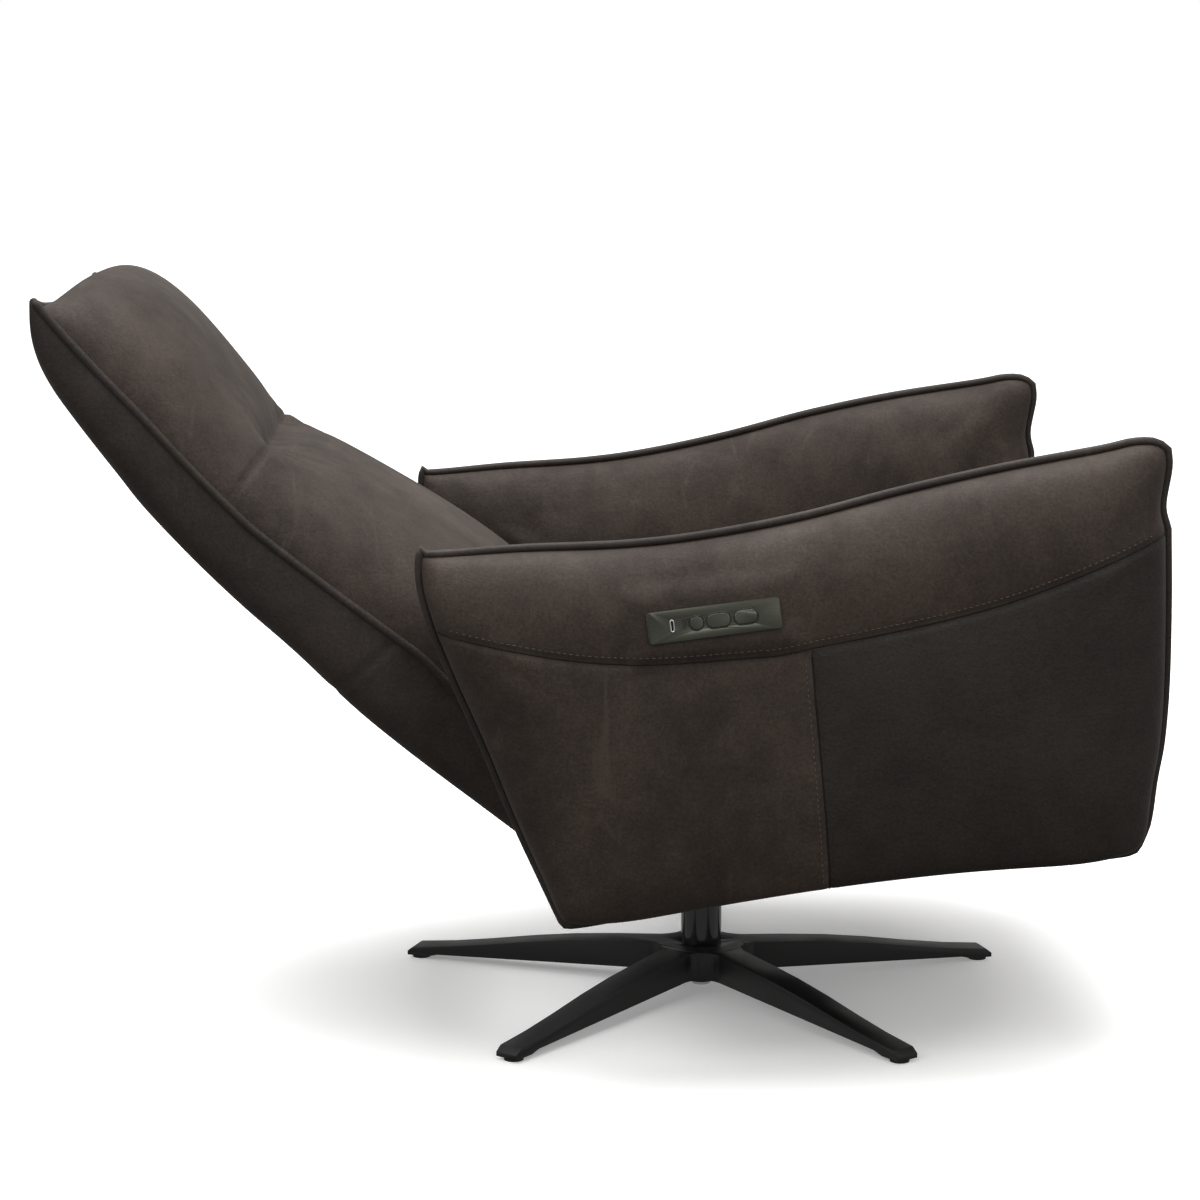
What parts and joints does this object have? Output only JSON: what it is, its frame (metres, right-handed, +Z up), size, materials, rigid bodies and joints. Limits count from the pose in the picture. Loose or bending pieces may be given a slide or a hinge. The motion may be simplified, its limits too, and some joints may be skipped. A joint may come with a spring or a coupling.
{
  "type": "power recliner armchair",
  "caption": "Leather swivel recliner armchair with pillow arms, piped seams, folding headrest, hinged legrest, side keypad and a low metal star base.",
  "frame": {"origin": "on the floor, on the swivel axis", "axes": "+Z up; -Y the way the chair faces; +X the sitter's left"},
  "size_m": [0.7649, 1.1095, 0.7947],
  "materials": {
    "base_powder": "satin powder coat",
    "column_black": "gloss black",
    "frame_steel": "satin black paint",
    "bright_steel": "brushed",
    "bolt_steel": "blackened",
    "glide": "matte",
    "bush": "matte",
    "bronze": "satin",
    "webbing": "woven",
    "foam": "open cell",
    "leather_brown": "mottled nubuck",
    "leather_piping": "smooth",
    "ply": "bare ply",
    "black_plastic": "fine texture",
    "keypad_face": "dark reflective",
    "key_metal": "bright rim",
    "lens": "clear",
    "board_green": "matte"
  },
  "bodies": {
    "base": {"star_base": "base_powder", "floor_glides": "glide", "column_tube": "column_black", "lower_bush": "bush", "upper_bush": "bush", "thrust_washer": "bronze"},
    "swivel": {"spindle": "bright_steel", "column_screw": "bolt_steel", "swivel_carrier": "frame_steel", "carrier_bolts": "bolt_steel", "tilt_pin": "bright_steel"},
    "tilt_link": {"tilt_links": "frame_steel"},
    "actuator_rod": {"back_motor_rod": "bright_steel"},
    "back": {"back_frame": "frame_steel", "back_levers": "frame_steel", "back_webbing": "webbing", "back_foam": "foam", "back_cover": "leather_brown", "back_shell": "leather_brown", "headrest_pins": "bright_steel"},
    "headrest": {"headrest_frame": "frame_steel", "headrest_foam": "foam", "headrest_cover": "leather_brown", "headrest_shell": "leather_brown"},
    "legrest": {"legrest_frame": "frame_steel", "legrest_board": "ply", "legrest_pad": "leather_brown"},
    "flap": {"flap_frame": "frame_steel", "flap_pad": "leather_brown"},
    "round_key": {"round_key": "key_metal"},
    "back_rocker": {"back_rocker": "key_metal"},
    "legrest_rocker": {"legrest_rocker": "key_metal"},
    "seat": {"side_rail_right": "frame_steel", "side_rail_left": "frame_steel", "cross_bars": "frame_steel", "recline_brackets": "frame_steel", "recline_pins": "bright_steel", "seat_webbing": "webbing", "seat_foam": "foam", "seat_cover": "leather_brown", "charging_inlet": "black_plastic", "battery_pack": "black_plastic", "control_box": "black_plastic", "arm_board_right": "ply", "arm_board_left": "ply", "arm_foam_right": "foam", "arm_foam_left": "foam", "arm_cover_right": "leather_brown", "arm_cover_left": "leather_brown", "arm_welt_right": "leather_piping", "arm_welt_left": "leather_piping", "arm_spacers": "bright_steel", "arm_bolts": "bolt_steel", "keypad_plate": "keypad_face", "keypad_housing": "black_plastic", "keypad_board": "board_green", "keypad_lens": "lens", "charging_slot": "lens", "back_motor": "black_plastic", "legrest_motor": "black_plastic"}
  },
  "joints": [
    {"name": "swivel", "type": "hinge", "parent": "base", "child": "swivel", "pos_m": [0, 0, 0], "axis": [0, 0, 1], "continuous": true},
    {"name": "body_tilt", "type": "hinge", "parent": "swivel", "child": "seat", "pos_m": [0, -0.1, 0.24], "axis": [-1, 0, 0], "range_deg": [-7, 1.4]},
    {"name": "recline", "type": "hinge", "parent": "seat", "child": "back", "pos_m": [0, 0.18042, 0.30834], "axis": [-1, 0, 0], "range_deg": [-32, 6]},
    {"name": "tilt_link_swing", "type": "hinge", "parent": "swivel", "child": "tilt_link", "pos_m": [0, 0.1, 0.2], "axis": [-1, 0, 0], "range_deg": [-3.5, 0.7]},
    {"name": "actuator_slide", "type": "slide", "parent": "seat", "child": "actuator_rod", "axis": [0, 0.9925, -0.1219], "range_m": [-0.008, 0.0415]},
    {"name": "headrest_fold", "type": "hinge", "parent": "back", "child": "headrest", "pos_m": [0, 0.49562, 0.5546], "axis": [1, 0, 0], "range_deg": [0, 18]},
    {"name": "legrest_swing", "type": "hinge", "parent": "seat", "child": "legrest", "pos_m": [0, -0.40534, 0.33794], "axis": [-1, 0, 0], "range_deg": [0, 85]},
    {"name": "flap_fold", "type": "hinge", "parent": "legrest", "child": "flap", "pos_m": [0, -0.36151, 0.26002], "axis": [-1, 0, 0], "range_deg": [0, 90]},
    {"name": "round_key_press", "type": "slide", "parent": "seat", "child": "round_key", "axis": [0.9942, -0.0131, -0.1065], "range_m": [0, 0.0007], "stiffness_N_per_m": 900},
    {"name": "back_rocker_rock", "type": "hinge", "parent": "seat", "child": "back_rocker", "pos_m": [-0.37399, 0.02059, 0.46725], "axis": [0.1073, 0.1212, 0.9868], "range_deg": [-3, 3], "stiffness_Nm_per_rad": 0.2},
    {"name": "legrest_rocker_rock", "type": "hinge", "parent": "seat", "child": "legrest_rocker", "pos_m": [-0.37399, -0.00541, 0.47044], "axis": [0.1073, 0.1212, 0.9868], "range_deg": [-3, 3], "stiffness_Nm_per_rad": 0.2}
  ],
  "couplings": [
    {"joint": "body_tilt", "follows": "recline", "ratio": 0.21875},
    {"joint": "tilt_link_swing", "follows": "recline", "ratio": 0.1063},
    {"joint": "actuator_slide", "follows": "recline", "m_per_rad": -0.0736},
    {"joint": "flap_fold", "follows": "legrest_swing", "ratio": 1.0588}
  ]
}
